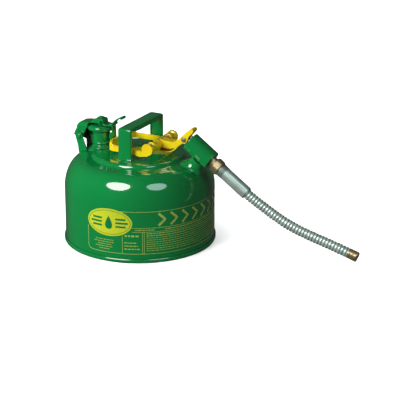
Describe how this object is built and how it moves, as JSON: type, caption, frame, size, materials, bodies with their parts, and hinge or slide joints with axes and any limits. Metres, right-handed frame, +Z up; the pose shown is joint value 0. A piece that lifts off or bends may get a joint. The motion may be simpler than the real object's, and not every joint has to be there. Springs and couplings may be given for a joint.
{
  "type": "safety gas can",
  "caption": "Round steel safety fuel can with a fixed carry handle, sprung filler cap, lift trigger, slanted pour valve and a flexible metal pour hose.",
  "frame": {"origin": "on the can's axis at floor level; the bottom panel's centre is 1.5 mm above it", "axes": "+Z up the can's axis, +X towards the pour hose, Y along the carry handle"},
  "size_m": [0.5826, 0.286, 0.2295],
  "materials": {
    "green_paint": "gloss",
    "yellow_paint": "gloss",
    "steel": "satin",
    "brass": "satin",
    "rubber": "matt"
  },
  "bodies": {
    "can": {"body_shell": "green_paint", "bottom_panel": "green_paint", "bottom_chime": "green_paint", "carry_handle": "green_paint", "fill_neck": "green_paint", "cap_hinge_bracket": "green_paint", "cap_spring_anchor": "green_paint", "cap_hinge_pin": "green_paint", "outlet_collar": "green_paint", "valve_housing": "green_paint", "cap_spring": "steel", "valve_spring": "steel", "trigger_rivet": "steel", "hose_ferrule": "steel", "flexible_hose": "steel", "fill_flame_arrester": "brass", "pour_flame_arrester": "brass", "stem_bush": "brass", "valve_seat": "brass", "outlet_ring": "brass", "coupling_nut": "brass", "hose_tip": "brass"},
    "trigger": {"trigger_lever": "yellow_paint"},
    "valve_stem": {"valve_stem": "steel", "valve_disc": "rubber"},
    "filler_cap": {"cap_lever": "green_paint", "fill_cap": "green_paint", "cap_gasket": "rubber", "cap_rivet": "green_paint", "latch_pin": "green_paint"},
    "cap_latch": {"cap_latch": "green_paint"}
  },
  "joints": [
    {"name": "trigger_lift", "type": "hinge", "parent": "can", "child": "trigger", "pos_m": [0.0965, 0, 0.2048], "axis": [0, 1, 0], "range_deg": [0, 6.5], "stiffness_Nm_per_rad": 0.4, "springref_deg": -17.19},
    {"name": "valve_slide", "type": "slide", "parent": "can", "child": "valve_stem", "axis": [0.8171, 0, -0.5764], "range_m": [0, 0.0016], "deforming": ["valve_spring"]},
    {"name": "cap_open", "type": "hinge", "parent": "can", "child": "filler_cap", "pos_m": [-0.1176, 0, 0.1848], "axis": [0, -1, 0], "range_deg": [0, 100], "stiffness_Nm_per_rad": 0.25, "springref_deg": -34.38},
    {"name": "latch_release", "type": "hinge", "parent": "filler_cap", "child": "cap_latch", "pos_m": [-0.055, 0, 0.2116], "axis": [0, -1, 0], "range_deg": [0, 14], "stiffness_Nm_per_rad": 0.02, "springref_deg": -34.38}
  ],
  "couplings": [
    {"joint": "valve_slide", "follows": "trigger_lift", "m_per_rad": 0.0125}
  ]
}
